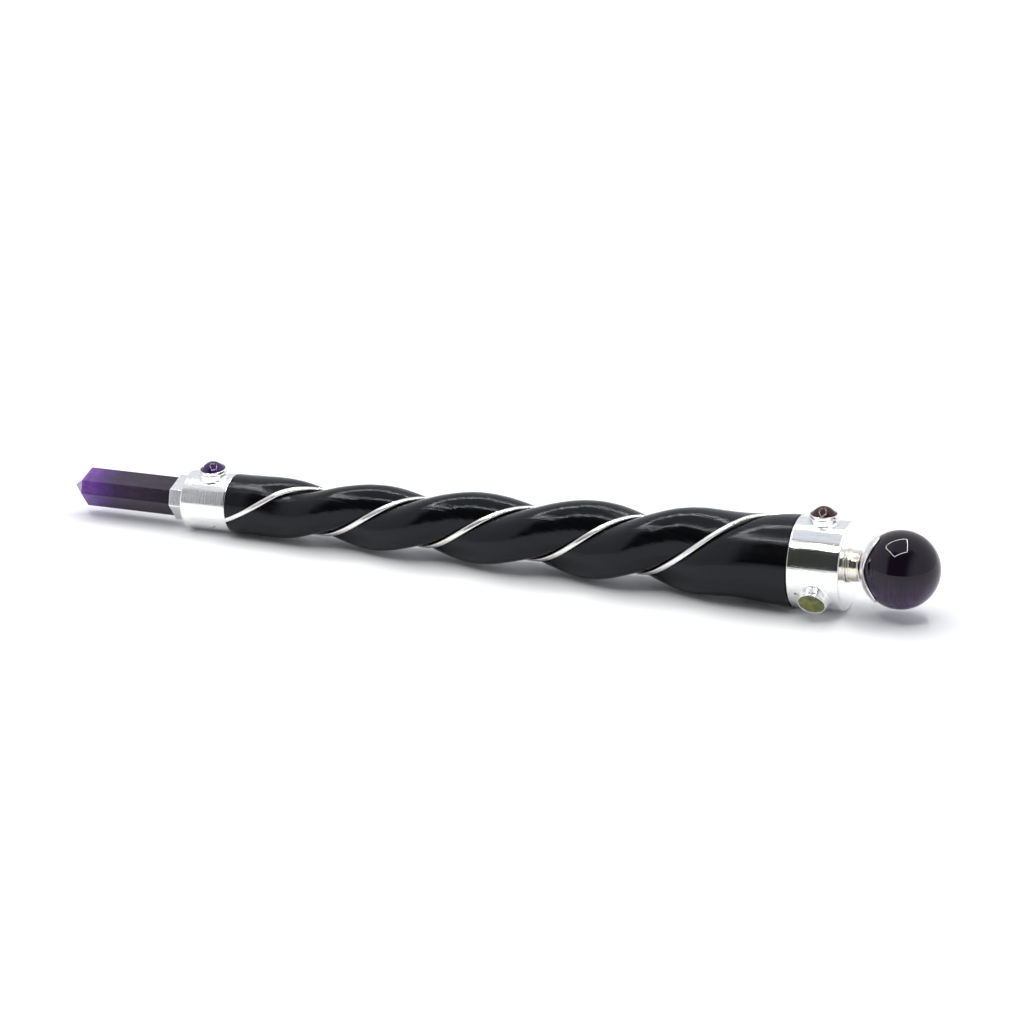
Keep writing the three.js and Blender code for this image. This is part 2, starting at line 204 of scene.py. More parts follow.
def skin(rings, closed=False):
    """Points and faces of a skin over rings that run round the axis by rising azimuth, in order of x.

    A closed skin joins its last ring to its first. Any other gets a face over each end.
    """
    rows, count, _ = rings.shape
    i, j = np.meshgrid(np.arange(rows if closed else rows - 1), np.arange(count), indexing="ij")
    here = i * count
    there = ((i + 1) % rows) * count
    after = (j + 1) % count
    quads = np.stack([here + j, there + j, there + after, here + after], axis=-1).reshape(-1, 4)
    faces = quads.tolist()
    if not closed:
        last = (rows - 1) * count
        faces.append(list(range(count)))
        faces.append([last + k for k in reversed(range(count))])
    return rings.reshape(-1, 3), faces


def revolved(outline, sides):
    """Points and faces of an outline of (x, radius) turned about the axis, x rising on the outer wall."""
    outline = np.array(outline, float)
    closed = bool(np.allclose(outline[0], outline[-1]))
    if closed:
        outline = outline[:-1]
    azimuth = np.linspace(0, 2 * math.pi, sides, endpoint=False)
    rings = around_axis(outline[:, :1], outline[:, 1:], azimuth[None, :])
    return skin(rings, closed)


def make(name, points, faces, material, nodes, place=None, smooth=True, sharp_over=None):
    """A finished piece of the wand. place puts its own coordinates into the wand's."""
    mesh = bpy.data.meshes.new(name)
    mesh.from_pydata([tuple(p) for p in points], [], faces)
    tidy = bmesh.new()
    tidy.from_mesh(mesh)
    bmesh.ops.remove_doubles(tidy, verts=tidy.verts, dist=1e-4)
    bmesh.ops.dissolve_degenerate(tidy, edges=tidy.edges, dist=1e-5)
    tidy.to_mesh(mesh)
    tidy.free()
    mesh.materials.append(material)
    if smooth:
        mesh.shade_smooth()
    else:
        mesh.shade_flat()
    if sharp_over is not None:
        mesh.set_sharp_from_angle(angle=math.radians(sharp_over))
    mesh.transform(WAND @ (place or Matrix.Identity(4)))
    piece = bpy.data.objects.new(name, mesh)
    bpy.context.collection.objects.link(piece)
    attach(piece, "root")
    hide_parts(*nodes)
    return piece


def even_normals(piece):
    """Keeps broad faces flat next to their rounded edges."""
    modifier = piece.modifiers.new("even_normals", "WEIGHTED_NORMAL")
    modifier.keep_sharp = True
    return piece


# ------------------------------------------------------------------ material making


def new_material(name, **sockets):
    """A material, its node tree and its shader, with the named sockets set."""
    material = bpy.data.materials.new(name)
    material.use_nodes = True
    shader = material.node_tree.nodes["Principled BSDF"]
    for socket, value in sockets.items():
        shader.inputs[socket.replace("_", " ")].default_value = value
    return material, material.node_tree, shader


def add_node(tree, kind, inputs=None, **settings):
    """A new node. Each input is a value or another node's socket."""
    node = tree.nodes.new(kind)
    for name, value in settings.items():
        setattr(node, name, value)
    for key, value in (inputs or {}).items():
        if isinstance(value, bpy.types.NodeSocket):
            tree.links.new(value, node.inputs[key])
        else:
            node.inputs[key].default_value = value
    return node


def object_coordinates(tree, scale=(1, 1, 1), location=(0, 0, 0)):
    """Coordinates in millimetres, the same for every piece, stretched by a scale and then moved."""
    source = add_node(tree, "ShaderNodeTexCoord")
    mapping = add_node(tree, "ShaderNodeMapping", {
        "Vector": source.outputs["Object"], "Scale": tuple(factor / MM for factor in scale),
        "Location": location})
    return mapping.outputs["Vector"]


def noise_value(tree, vector, scale, detail=3.0, roughness=0.5, distortion=0.0):
    """Cloudy noise from 0 to 1 at a place in space."""
    node = add_node(tree, "ShaderNodeTexNoise", {
        "Vector": vector, "Scale": scale, "Detail": detail,
        "Roughness": roughness, "Distortion": distortion})
    return node.outputs["Fac"]


def remap(tree, value, from_min, from_max, to_min, to_max, smooth=False):
    """Carries one range of a value over to another, and holds it at both ends."""
    node = add_node(tree, "ShaderNodeMapRange", {
        "Value": value, "From Min": from_min, "From Max": from_max,
        "To Min": to_min, "To Max": to_max},
        interpolation_type="SMOOTHSTEP" if smooth else "LINEAR")
    return node.outputs["Result"]


def math_node(tree, operation, *values):
    """The result of an operation on one or two values."""
    node = add_node(tree, "ShaderNodeMath", dict(enumerate(values)), operation=operation)
    return node.outputs["Value"]


def mix_colour(tree, share, first, second):
    """The first colour at a share of 0 and the second at 1."""
    node = add_node(tree, "ShaderNodeMix", data_type="RGBA")
    factor, colours = node.inputs[0], (node.inputs[6], node.inputs[7])
    for socket, value in zip((factor, *colours), (share, first, second)):
        if isinstance(value, bpy.types.NodeSocket):
            tree.links.new(value, socket)
        else:
            socket.default_value = value
    return node.outputs[2]


def bump(tree, height, distance_mm, normal=None):
    """A surface that rises by some millimetres with a height of 1, on top of another bump."""
    inputs = {"Height": height, "Distance": distance_mm * MM}
    if normal is not None:
        inputs["Normal"] = normal
    return add_node(tree, "ShaderNodeBump", inputs).outputs["Normal"]


def rgb(red, green, blue):
    """An opaque colour."""
    return (red, green, blue, 1)


def silver_material(name, base, low_roughness, high_roughness, ripple_mm):
    """Hand-polished silver: soft ripples along the wand, fine rings and scratches, and faint smears."""
    material, tree, shader = new_material(name, Metallic=1.0)
    brushed = object_coordinates(tree, (0.16, 1, 1))
    scratches = noise_value(tree, object_coordinates(tree, (0.12, 3, 3)), 2.2, 4.0, 0.65)
    smears = noise_value(tree, object_coordinates(tree, (0.5, 1, 1)), 0.3, 3.0, 0.6, 0.6)
    ripples = noise_value(tree, brushed, 0.5, 3.0, 0.5)
    spread = math_node(tree, "MULTIPLY", scratches, smears)
    tree.links.new(remap(tree, spread, 0.12, 0.42, low_roughness, high_roughness),
                   shader.inputs["Roughness"])
    duller = tuple(0.80 * channel for channel in base[:3]) + (1,)
    tree.links.new(mix_colour(tree, remap(tree, scratches, 0.45, 0.7, 0, 1), base, duller),
                   shader.inputs["Base Color"])
    rings = noise_value(tree, object_coordinates(tree, (1, 0.1, 0.1)), 2.5, 4.0, 0.7)
    normal = bump(tree, ripples, ripple_mm)
    normal = bump(tree, rings, 0.014, normal)
    tree.links.new(bump(tree, scratches, 0.012, normal), shader.inputs["Normal"])
    return material


def hammered_material(name):
    """Warm silver with the small planished dents that break its reflections into beads."""
    material, tree, shader = new_material(name, Metallic=1.0)
    plain = object_coordinates(tree)
    dents = noise_value(tree, plain, 0.85, 2.0, 0.5, 0.3)
    tone = noise_value(tree, plain, 1.1, 3.0, 0.6)
    tree.links.new(mix_colour(tree, remap(tree, tone, 0.4, 0.65, 0, 1), rgb(0.93, 0.92, 0.89),
                              rgb(0.82, 0.72, 0.52)), shader.inputs["Base Color"])
    tree.links.new(remap(tree, tone, 0.3, 0.7, 0.07, 0.18), shader.inputs["Roughness"])
    tree.links.new(bump(tree, dents, 0.07), shader.inputs["Normal"])
    return material


def ebony_material():
    """Polished black wood, scraped along its strands: streaks, short chatter marks, fine pores."""
    material, tree, shader = new_material("ebony", Specular_IOR_Level=0.30)
    source = add_node(tree, "ShaderNodeTexCoord").outputs["UV"]

    def stretched(along, across):
        mapping = add_node(tree, "ShaderNodeMapping", {"Vector": source, "Scale": (along, across, 1)})
        return mapping.outputs["Vector"]

    streaks = noise_value(tree, stretched(0.07, 1.5), 1.0, 5.0, 0.62, 0.4)
    pores = noise_value(tree, stretched(0.8, 9), 1.0, 3.0, 0.6)
    chatter = noise_value(tree, stretched(0.9, 1.6), 1.0, 3.0, 0.6, 0.5)
    colour = mix_colour(tree, remap(tree, streaks, 0.35, 0.7, 0, 1), rgb(0.0012, 0.0012, 0.0016),
                        rgb(0.0040, 0.0040, 0.0052))
    tree.links.new(colour, shader.inputs["Base Color"])
    shader.inputs["Specular Tint"].default_value = rgb(0.86, 0.92, 1.0)
    tree.links.new(remap(tree, chatter, 0.3, 0.7, 0.05, 0.20), shader.inputs["Roughness"])
    normal = bump(tree, streaks, 0.07)
    normal = bump(tree, chatter, 0.045, normal)
    tree.links.new(bump(tree, pores, 0.012, normal), shader.inputs["Normal"])
    return material


def point_material():
    """Amethyst: bluish at the tip, violet behind it and smoky towards the cup, with veils."""
    material, tree, shader = new_material("point_amethyst", Roughness=0.035, IOR=1.54,
                                          Transmission_Weight=0.35)
    plain = object_coordinates(tree)
    along = add_node(tree, "ShaderNodeSeparateXYZ", {0: plain}).outputs["X"]
    drift = noise_value(tree, plain, 0.16, 3.0, 0.5, 0.8)
    shifted = math_node(tree, "ADD", along, remap(tree, drift, 0, 1, -6, 6))
    ramp = add_node(tree, "ShaderNodeValToRGB", {
        "Fac": remap(tree, shifted, POINT_TIP_X - 1, TIP_CUP_X[0], 0, 1)})
    stops = ramp.color_ramp.elements
    stops[0].position, stops[0].color = 0.0, rgb(0.10, 0.07, 0.22)
    stops[1].position, stops[1].color = 1.0, rgb(0.006, 0.003, 0.010)
    for position, colour in ((0.16, rgb(0.27, 0.09, 0.55)), (0.30, rgb(0.10, 0.025, 0.24)),
                             (0.46, rgb(0.028, 0.010, 0.060)), (0.7, rgb(0.017, 0.009, 0.028))):
        stop = stops.new(position)
        stop.color = colour
    veils = noise_value(tree, object_coordinates(tree, (0.5, 1.4, 1.4)), 0.7, 6.0, 0.66, 1.4)
    veiled = mix_colour(tree, remap(tree, veils, 0.48, 0.66, 0, 0.6, True), ramp.outputs["Color"],
                        rgb(0.07, 0.03, 0.075))
    tree.links.new(veiled, shader.inputs["Base Color"])
    return material


def cabochon_material(name, deep, bright):
    """A polished dome in a deep colour, with brighter clouds."""
    material, tree, shader = new_material(name, Roughness=0.02, IOR=1.6, Specular_IOR_Level=0.35)
    cloud = noise_value(tree, object_coordinates(tree), 0.7, 4.0, 0.6, 0.5)
    tree.links.new(mix_colour(tree, remap(tree, cloud, 0.35, 0.7, 0, 1), deep, bright),
                   shader.inputs["Base Color"])
    return material


def faceted_material(name, colour, painted_glint, ior):
    """A clear coloured stone with brighter patches at random in its colour: painted glints that stand in
    for light returned by its facets.
    """
    material, tree, shader = new_material(name, Roughness=0.02, IOR=ior, Specular_IOR_Level=0.3,
                                          Transmission_Weight=0.6)
    cloud = noise_value(tree, object_coordinates(tree), 0.6, 3.0, 0.6, 0.4)
    # Painted glints: the brighter colour is mixed in as random patches, in place of light from the facets.
    tree.links.new(mix_colour(tree, remap(tree, cloud, 0.35, 0.7, 0, 1), colour, painted_glint),
                   shader.inputs["Base Color"])
    return material


def ball_material():
    """Banded amethyst: nearly black above, with paler upright bands below."""
    material, tree, shader = new_material("ball_amethyst", Roughness=0.02, IOR=1.54,
                                          Specular_IOR_Level=0.3)
    plain = object_coordinates(tree)
    height = add_node(tree, "ShaderNodeSeparateXYZ", {0: plain}).outputs["Z"]
    bands = noise_value(tree, object_coordinates(tree, (1.3, 0.35, 0.06)), 0.7, 5.0, 0.6, 0.4)
    cloud = noise_value(tree, plain, 0.12, 3.0, 0.5, 0.5)
    middle = (WAND @ TAIL @ Vector((BALL_X, 0, 0))).z / MM
    uneven = math_node(tree, "ADD", height, remap(tree, cloud, 0, 1, -4, 4))
    low = remap(tree, uneven, middle + 3, middle - 9, 0, 1, True)
    glow = math_node(tree, "MULTIPLY", low, remap(tree, bands, 0.3, 0.7, 0.35, 1))
    tree.links.new(mix_colour(tree, glow, rgb(0.0065, 0.003, 0.0085), rgb(0.072, 0.042, 0.110)),
                   shader.inputs["Base Color"])
    return material


def steel_material():
    """Dull grey steel for the hidden stem and the brads."""
    material, tree, shader = new_material("steel", Metallic=1.0, Base_Color=rgb(0.32, 0.31, 0.30))
    grain = noise_value(tree, object_coordinates(tree), 2.0, 4.0, 0.6)
    tree.links.new(remap(tree, grain, 0.3, 0.7, 0.25, 0.45), shader.inputs["Roughness"])
    return material


SILVER = silver_material("silver", rgb(0.95, 0.95, 0.95), 0.05, 0.15, 0.05)
WIRE_SILVER = silver_material("wire_silver", rgb(0.95, 0.92, 0.88), 0.2, 0.34, 0.01)
HAMMERED_SILVER = hammered_material("hammered_silver")
EBONY = ebony_material()
POINT_AMETHYST = point_material()
CABOCHON_AMETHYST = cabochon_material("cabochon_amethyst", rgb(0.014, 0.003, 0.036),
                                      rgb(0.05, 0.012, 0.12))
GARNET = cabochon_material("garnet", rgb(0.010, 0.001, 0.002), rgb(0.06, 0.004, 0.006))
# The second colour of each faceted stone is a painted glint: brighter patches for the light its facets
# return.
PERIDOT = faceted_material("peridot", rgb(0.10, 0.11, 0.002), rgb(0.42, 0.43, 0.02), 1.67)
TOPAZ = faceted_material("topaz", rgb(0.12, 0.40, 0.62), rgb(0.35, 0.66, 0.85), 1.62)
BALL_AMETHYST = ball_material()
STEEL = steel_material()

# ------------------------------------------------------------------ shaft and wires

SEAT_GAP = 0.04
SHAFT_COLUMNS_PER_QUARTER = 30
SHAFT_ROWS = 440
COLUMN_CROWDING = 1.6
SEAT_REACH = 1.2
TOOL_MARK_DEPTH = 0.04
TOOL_MARK_SCALE = (0.14, 2.2)
# How far one millimetre of axis runs along a strand, and the strands' middle radius.
STRAND_STRETCH, STRAND_RADIUS = 1.3, 9.5


def wood_crest(x):
    """The shaft's greatest radius: it widens towards the ball, with a slight waist."""
    along = np.clip((x - WOOD_X[0]) / (WOOD_X[1] - WOOD_X[0]), 0, 1)
    taper = WOOD_RADIUS[0] + (WOOD_RADIUS[1] - WOOD_RADIUS[0]) * along
    return taper - WOOD_WAIST * np.sin(math.pi * along)


def carving(x):
    """0 where the shaft is round and 1 where it is fully carved into two strands."""
    front = smoothstep(CARVING_X[0], CARVING_X[0] + CARVING_RUN_OUT[0], x)
    return front * (1 - smoothstep(CARVING_X[1] - CARVING_RUN_OUT[1], CARVING_X[1], x))


def twist(x):
    """The first groove's azimuth in radians: steady with a slight drift, slower near both ends."""
    front = np.maximum(0, FRONT_TWIST_X - x)
    rear = np.maximum(0, x - REAR_TWIST_X)
    wander = TWIST_WANDER * np.cos(2 * math.pi * (x - WANDER_X) / WANDER_LENGTH)
    return np.radians(TWIST_AT_MIDDLE + TWIST_RATE * x + wander + FRONT_TWIST_SLOWING * front**2
                      - REAR_TWIST_SLOWING * rear**3)


def groove(x):
    """The strands' offset and radius, the wire's distance from the axis, and its stretch.

    The stretch is how much wider the slanting wire is in a section across the axis.
    """
    crest = wood_crest(x)
    offset = crest * STRAND_OFFSET * carving(x)
    strand = crest - offset
    nested = np.sqrt((strand + WIRE_RADIUS + GAP) ** 2 - offset**2)
    wire = np.minimum(nested, crest - WIRE_SINK)
    slope = (twist(x + 0.01) - twist(x - 0.01)) / 0.02
    return offset, strand, wire, np.hypot(1, wire * slope)


def strand_surface(offset, strand, from_groove):
    """The radius of the two overlapping round strands at an angle from a groove."""
    return offset * np.sin(from_groove) + np.sqrt(strand**2 - (offset * np.cos(from_groove)) ** 2)


def tool_marks(x, radius, azimuth, from_groove):
    """Shallow scrapes that follow the strands, strongest on their crests."""
    turned = azimuth - twist(x)
    along, across = TOOL_MARK_SCALE
    places = np.broadcast_arrays(x * along, across * np.cos(turned), across * np.sin(turned))
    points = np.stack(places, axis=-1)
    values = [noise.fractal(Vector(p), 0.7, 2.0, 3) for p in points.reshape(-1, 3)]
    depth = np.array(values).reshape(points.shape[:-1])
    return radius + TOOL_MARK_DEPTH * depth * np.sin(from_groove)


def quarter_columns():
    """Angles from a groove to the next crest, closer together near the groove."""
    share = np.linspace(0, 1, SHAFT_COLUMNS_PER_QUARTER + 1)
    return share**COLUMN_CROWDING * (math.pi / 2)


def shaft_rings(x):
    """Rings of the carved shaft: columns follow the twist, so the grooves stay crisp."""
    quarter = quarter_columns()
    half = np.concatenate([quarter[:-1], math.pi - quarter[:0:-1]])
    from_groove = np.concatenate([half, half])[None, :]
    angle = np.concatenate([half, half + math.pi])[None, :]
    x = x[:, None]
    offset, strand, wire, stretch = groove(x)
    surface = strand_surface(offset, strand, from_groove)
    near = np.minimum(from_groove, math.pi - from_groove)
    half_width = (WIRE_HALF_WIDTH + SEAT_GAP) * stretch
    half_height = WIRE_HALF_HEIGHT + SEAT_GAP
    reach = np.minimum(near, SEAT_REACH)
    aside = np.clip(wire * np.tan(reach) / half_width, 0, 1)
    seat_floor = (wire - half_height * np.sqrt(1 - aside**2)) / np.cos(reach)
    radius = np.where(aside < 1, np.minimum(surface, seat_floor), surface)
    azimuth = twist(x) + angle
    radius = tool_marks(x, radius, azimuth, from_groove)
    return around_axis(x, radius, azimuth), angle


def make_shaft():
    """The carved shaft and the round tenons inside both ferrules."""
    x = np.linspace(*WOOD_X, SHAFT_ROWS)
    rings, angle = shaft_rings(x)
    front_tenon = FRONT_FERRULE_RADIUS - FERRULE_WALL - TENON_GAP
    rear_tenon = REAR_FERRULE_RADIUS[1] - FERRULE_WALL - TENON_GAP
    ends = [around_axis(place, radius, (twist(np.array(at)) + angle)[0])
            for place, radius, at in ((TENON_END_X[0], front_tenon, WOOD_X[0]),
                                      (WOOD_X[0], front_tenon, WOOD_X[0]),
                                      (WOOD_X[1], rear_tenon, WOOD_X[1]),
                                      (TENON_END_X[1], rear_tenon, WOOD_X[1]))]
    points, faces = skin(np.concatenate([np.stack(ends[:2]), rings, np.stack(ends[2:])]))
    piece = make("ebony_shaft", points, faces, EBONY, ["shaft"], sharp_over=50)
    add_strand_coordinates(piece)
    return piece


def add_strand_coordinates(piece):
    """Texture coordinates in millimetres: along the strands, and round them with the twist taken out."""
    mesh = piece.data
    layer = mesh.uv_layers.new(name="strand")
    places = np.array([v.co for v in mesh.vertices])
    azimuth = np.arctan2(places[:, 2], -places[:, 1]) - twist(places[:, 0])
    around = np.mod(azimuth, 2 * math.pi)
    for polygon in mesh.polygons:
        turns = np.array([around[v] for v in polygon.vertices])
        if turns.max() - turns.min() > math.pi:
            turns = np.where(turns < math.pi, turns + 2 * math.pi, turns)
        for loop, vertex, turn in zip(polygon.loop_indices, polygon.vertices, turns):
            layer.data[loop].uv = (places[vertex][0] * STRAND_STRETCH, turn * STRAND_RADIUS)


WIRE_SIDES = 20
WIRE_ROWS = 420
WIRE_END_GAP = 0.05
WIRE_FLAT = 0.8
WIRE_CROWN = 0.3
WIRE_WANDER = 0.03


def make_wire(index):
    """A wire hammered into its groove: its outer side is nearly flat."""
    x = np.linspace(WOOD_X[0] + WIRE_END_GAP, WOOD_X[1] - WIRE_END_GAP, WIRE_ROWS)
    _, _, wire, stretch = groove(x)
    azimuth = twist(x) + index * math.pi
    out = around_axis(0, 1, azimuth)[:, None, :]
    aside = around_axis(0, 1, azimuth + math.pi / 2)[:, None, :]
    along = np.stack([x, np.zeros_like(x), np.zeros_like(x)], axis=-1)[:, None, :]
    turn = np.linspace(0, 2 * math.pi, WIRE_SIDES, endpoint=False)[None, :, None]
    flattened = WIRE_FLAT + WIRE_CROWN * (np.cos(turn) - WIRE_FLAT)
    height = WIRE_HALF_HEIGHT * np.minimum(np.cos(turn), flattened)
    width = WIRE_HALF_WIDTH * stretch[:, None, None] * np.sin(turn)
    drift = [noise.noise(Vector((place * 0.25, index * 7.0, 3.0))) for place in x]
    middle = wire + WIRE_WANDER * np.array(drift)
    rings = along + out * (middle[:, None, None] + height) + aside * width
    points, faces = skin(rings)
    return make(f"silver_wire_{index + 1}", points, faces, WIRE_SILVER,
                [f"wire_{index + 1}"], sharp_over=60)


# ------------------------------------------------------------------ ferrules and end discs

SIDES = 160
DISC_GAP = 0.02
FERRULE_UNEVENNESS = 0.0016


def make_ferrule(name, ends, radii, node):
    """A tube with rounded ends, slightly uneven as hand work is."""
    inner = [radius - FERRULE_WALL for radius in radii]
    outline = rounded([
        (ends[0], inner[0], 0.1),
        (ends[0], radii[0], 0.45),
        (ends[1], radii[1], 0.45),
        (ends[1], inner[1], 0.1),
        (ends[0], inner[0], 0.1),
    ])
    points, faces = revolved(outline, SIDES)
    hand = np.array([noise.noise(Vector(p) * 0.12) for p in points])
    points = points * (1 + FERRULE_UNEVENNESS * hand[:, None] * np.array([0, 1, 1]))
    return even_normals(make(name, points, faces, SILVER, [node]))


def make_front_disc():
    """A disc with a six-sided window that the cup fills."""
    azimuth = np.linspace(0, 2 * math.pi, SIDES, endpoint=False)
    window = section_radius(azimuth, GAP + TIP_CUP_WALL + 0.03)
    edge = np.full(SIDES, FRONT_FERRULE_RADIUS - FERRULE_WALL - DISC_GAP)
    front, back = FRONT_FERRULE_X[0], FRONT_FERRULE_X[0] + DISC_THICKNESS
    rings = [around_axis(x, radius, azimuth) for x, radius in (
        (back, window), (front + 0.05, window), (front, window + 0.05), (front, edge - 0.12),
        (front + 0.12, edge), (back, edge))]
    points, faces = skin(np.array(rings), closed=True)
    piece = make("front_disc", points, faces, SILVER, ["front_end_disc"], sharp_over=60)
    return even_normals(piece)


def make_rear_disc():
    """A disc with a hole for the stem; its back rises very slightly towards the neck."""
    radius = REAR_FERRULE_RADIUS[1] - FERRULE_WALL - DISC_GAP
    front, back = REAR_FERRULE_X[1] - DISC_THICKNESS, REAR_FERRULE_X[1]
    outline = rounded([
        (front, STEM_HOLE_RADIUS, 0.05),
        (front, radius, 0.05),
        (back, radius, 0.12),
        (back + 0.03, NECK_RADIUS + 0.5, 0.05),
        (back + 0.03, STEM_HOLE_RADIUS, 0.05),
        (front, STEM_HOLE_RADIUS, 0.05),
    ])
    points, faces = revolved(outline, SIDES)
    return even_normals(make("rear_disc", points, faces, SILVER, ["rear_end_disc"]))


# ------------------------------------------------------------------ crystal point and its cup

CUP_SIDES = 240
TIP_CUP_ROUNDNESS = 0.012


def section_faces(outwards):
    """The point's six faces as (azimuth, distance from the axis), each moved outwards."""
    corners = [math.radians(corner) for corner in POINT_CORNERS]
    faces = []
    for i, corner in enumerate(corners):
        before = corners[i - 1] - (2 * math.pi if i == 0 else 0)
        half = (corner - before) / 2
        faces.append((corner - half, POINT_RADIUS * math.cos(half) + outwards))
    return faces


def section_radius(azimuth, outwards, roundness=0.0):
    """The six-sided section's radius at an azimuth; its corners are sharp or a little rounded."""
    faces = section_faces(outwards)
    nearness = np.array([np.cos(azimuth - face) / distance for face, distance in faces])
    if roundness == 0:
        return 1 / nearness.max(axis=0)
    power = 1 / roundness
    return 1 / (np.clip(nearness, 0, None) ** power).sum(axis=0) ** (1 / power)


def soften_edges(piece, width):
    """Rounds a piece's sharp edges; the width is in millimetres."""
    modifier = piece.modifiers.new("soft_edges", "BEVEL")
    modifier.width = width * MM
    modifier.segments = 2
    modifier.limit_method = "ANGLE"
    modifier.angle_limit = math.radians(20)
    modifier.harden_normals = True
    return piece


def make_point():
    """A six-sided prism that narrows to the tip."""
    corners = np.radians(POINT_CORNERS)
    points, faces = skin(np.array([
        around_axis(POINT_TIP_X, 0, corners),
        around_axis(POINT_SHOULDER_X, POINT_RADIUS, corners),
        around_axis(POINT_BASE_X, POINT_RADIUS, corners)]))
    piece = make("crystal_point", points, faces, POINT_AMETHYST,
                 ["amethyst_point"], TIP)
    return soften_edges(piece, 0.1)


def make_tip_cup():
    """The six-sided cup, with a rounded rim."""
    azimuth = np.linspace(0, 2 * math.pi, CUP_SIDES, endpoint=False)
    front, back = TIP_CUP_X
    floor = back - TIP_CUP_WALL
    inside, outside = 0.04, GAP + TIP_CUP_WALL
    rows = [(floor, 0), (floor, inside), (front + 0.1, inside)]
    middle = (inside + outside) / 2
    for turn in np.linspace(0, math.pi, 7):
        rows.append((front + TIP_CUP_RIM_ROUND * (1 - math.sin(turn)),
                     middle - (outside - middle) * math.cos(turn)))
    rows += [(back, outside), (back, 0)]
    rings = []
    for i, (x, outwards) in enumerate(rows):
        middle_point = i in (0, len(rows) - 1)
        radius = 0 if middle_point else section_radius(azimuth, outwards, TIP_CUP_ROUNDNESS)
        rings.append(around_axis(x, radius, azimuth))
    points, faces = skin(np.array(rings))
    piece = make("crystal_cup", points, faces, SILVER, ["tip_cup"], TIP, sharp_over=60)
    return even_normals(piece)


# ------------------------------------------------------------------ stones and bezels

STONE_SIDES = 96
STONE_GAP = 0.02


def bezel_rings(ferrule_radius):
    """A stepped cup on the ferrule's curve, with solder round its foot and a burnished rim."""
    angle = np.linspace(0, 2 * math.pi, STONE_SIDES, endpoint=False)
    across = np.abs(np.cos(angle))

    def surface(radius):
        return np.sqrt(ferrule_radius**2 - (radius * across) ** 2)

    rim = ferrule_radius + BEZEL_RIM
    floor = ferrule_radius + BEZEL_FLOOR
    step = ferrule_radius + BEZEL_FOOT
    solder = BEZEL_FOOT_RADIUS + SOLDER_WIDTH
    rows = [(0.0, surface(0) - 0.3),
            (solder - 0.3, surface(solder) - 0.3),
            (solder, surface(solder) - 0.02)]
    for t in np.linspace(0.25, 1, 4):
        out = BEZEL_FOOT_RADIUS + SOLDER_WIDTH * (1 - t) ** 2
        rows.append((out, surface(out) + SOLDER_HEIGHT * t**2))
    for turn in np.linspace(0, math.pi / 2, 4):
        rows.append((BEZEL_FOOT_RADIUS - BEZEL_STEP_ROUND * (1 - math.cos(turn)),
                     step - BEZEL_STEP_ROUND * (1 - math.sin(turn))))
    rows.append((BEZEL_RADIUS - 0.03, step - 0.02))
    rows.append((BEZEL_RADIUS - 0.03, step + 0.1))
    lip = (BEZEL_RADIUS - BEZEL_INSIDE) / 2
    for t in np.linspace(0, 1, 8):
        turn = t * math.pi * 0.9
        rows.append((BEZEL_RADIUS - lip + lip * math.cos(turn), rim - lip + lip * math.sin(turn)))
    rows.append((BEZEL_INSIDE, rim - 0.4))
    rows.append((BEZEL_INSIDE, floor))
    rows.append((0.0, floor))
    rings = []
    for radius, height in rows:
        height = np.broadcast_to(height, angle.shape)
        rings.append(np.stack([height, -radius * np.cos(angle), radius * np.sin(angle)], axis=-1))
    return np.array(rings)


def make_bezel(name, place, ferrule_radius, node):
    """The silver setting of a stone."""
    points, faces = skin(bezel_rings(ferrule_radius))
    return even_normals(make(name, points, faces, SILVER, [node], place, sharp_over=55))


def make_cabochon(name, place, ferrule_radius, material, slot, node):
    """A domed stone that fills the setting's mouth."""
    rim = ferrule_radius + BEZEL_RIM
    girdle = BEZEL_INSIDE - STONE_GAP
    outline = [(rim - 1.0, 0), (rim - 1.0, girdle)]
    for share in np.linspace(1, 0, 24):
        outline.append((rim - 0.2 + (DOME_HEIGHT + 0.2) * (1 - share**2), girdle * share))
    points, faces = revolved(outline, STONE_SIDES)
    return make(name, points, faces, material, [node], place, sharp_over=50)


def faceted_points(base, radius):
    """A round brilliant: table, stars, kites and halves above the girdle, mains below it."""
    eighth = math.pi / 4

    def ring(count, height, distance, start):
        angle = start + np.linspace(0, 2 * math.pi, count, endpoint=False)
        return [(height, -distance * math.cos(a), distance * math.sin(a)) for a in angle]

    table = ring(8, base + 0.95, radius * 0.55, 0)
    stars = ring(8, base + 0.62, radius * 0.78, eighth / 2)
    top_girdle = ring(16, base + 0.06, radius, 0)
    low_girdle = ring(16, base - 0.06, radius, 0)
    culet = [(base - 1.0, 0, 0)]
    points = table + stars + top_girdle + low_girdle + culet
    star, top, low, end = 8, 16, 32, 48
    faces = [list(reversed(range(8)))]
    for k in range(8):
        after = (k + 1) % 8
        before = (k - 1) % 8
        here, halfway, following = 2 * k, 2 * k + 1, (2 * k + 2) % 16
        faces.append([k, star + k, after])
        faces.append([k, star + before, top + here, star + k])
        faces.append([star + k, top + here, top + halfway])
        faces.append([star + k, top + halfway, top + following])
        faces.append([low + here, end, low + halfway])
        faces.append([low + halfway, end, low + following])
    for k in range(16):
        after = (k + 1) % 16
        faces.append([top + k, low + k, low + after, top + after])
    return points, faces


def make_faceted(name, place, ferrule_radius, material, slot, node):
    """A brilliant-cut stone whose faces all look outwards."""
    girdle = ferrule_radius + BEZEL_RIM - 0.15
    points, faces = faceted_points(girdle, BEZEL_INSIDE - STONE_GAP)
    piece = make(name, points, faces, material, [node], place, smooth=False)
    turned = bmesh.new()
    turned.from_mesh(piece.data)
    bmesh.ops.recalc_face_normals(turned, faces=turned.faces)
    turned.to_mesh(piece.data)
    turned.free()
    return piece


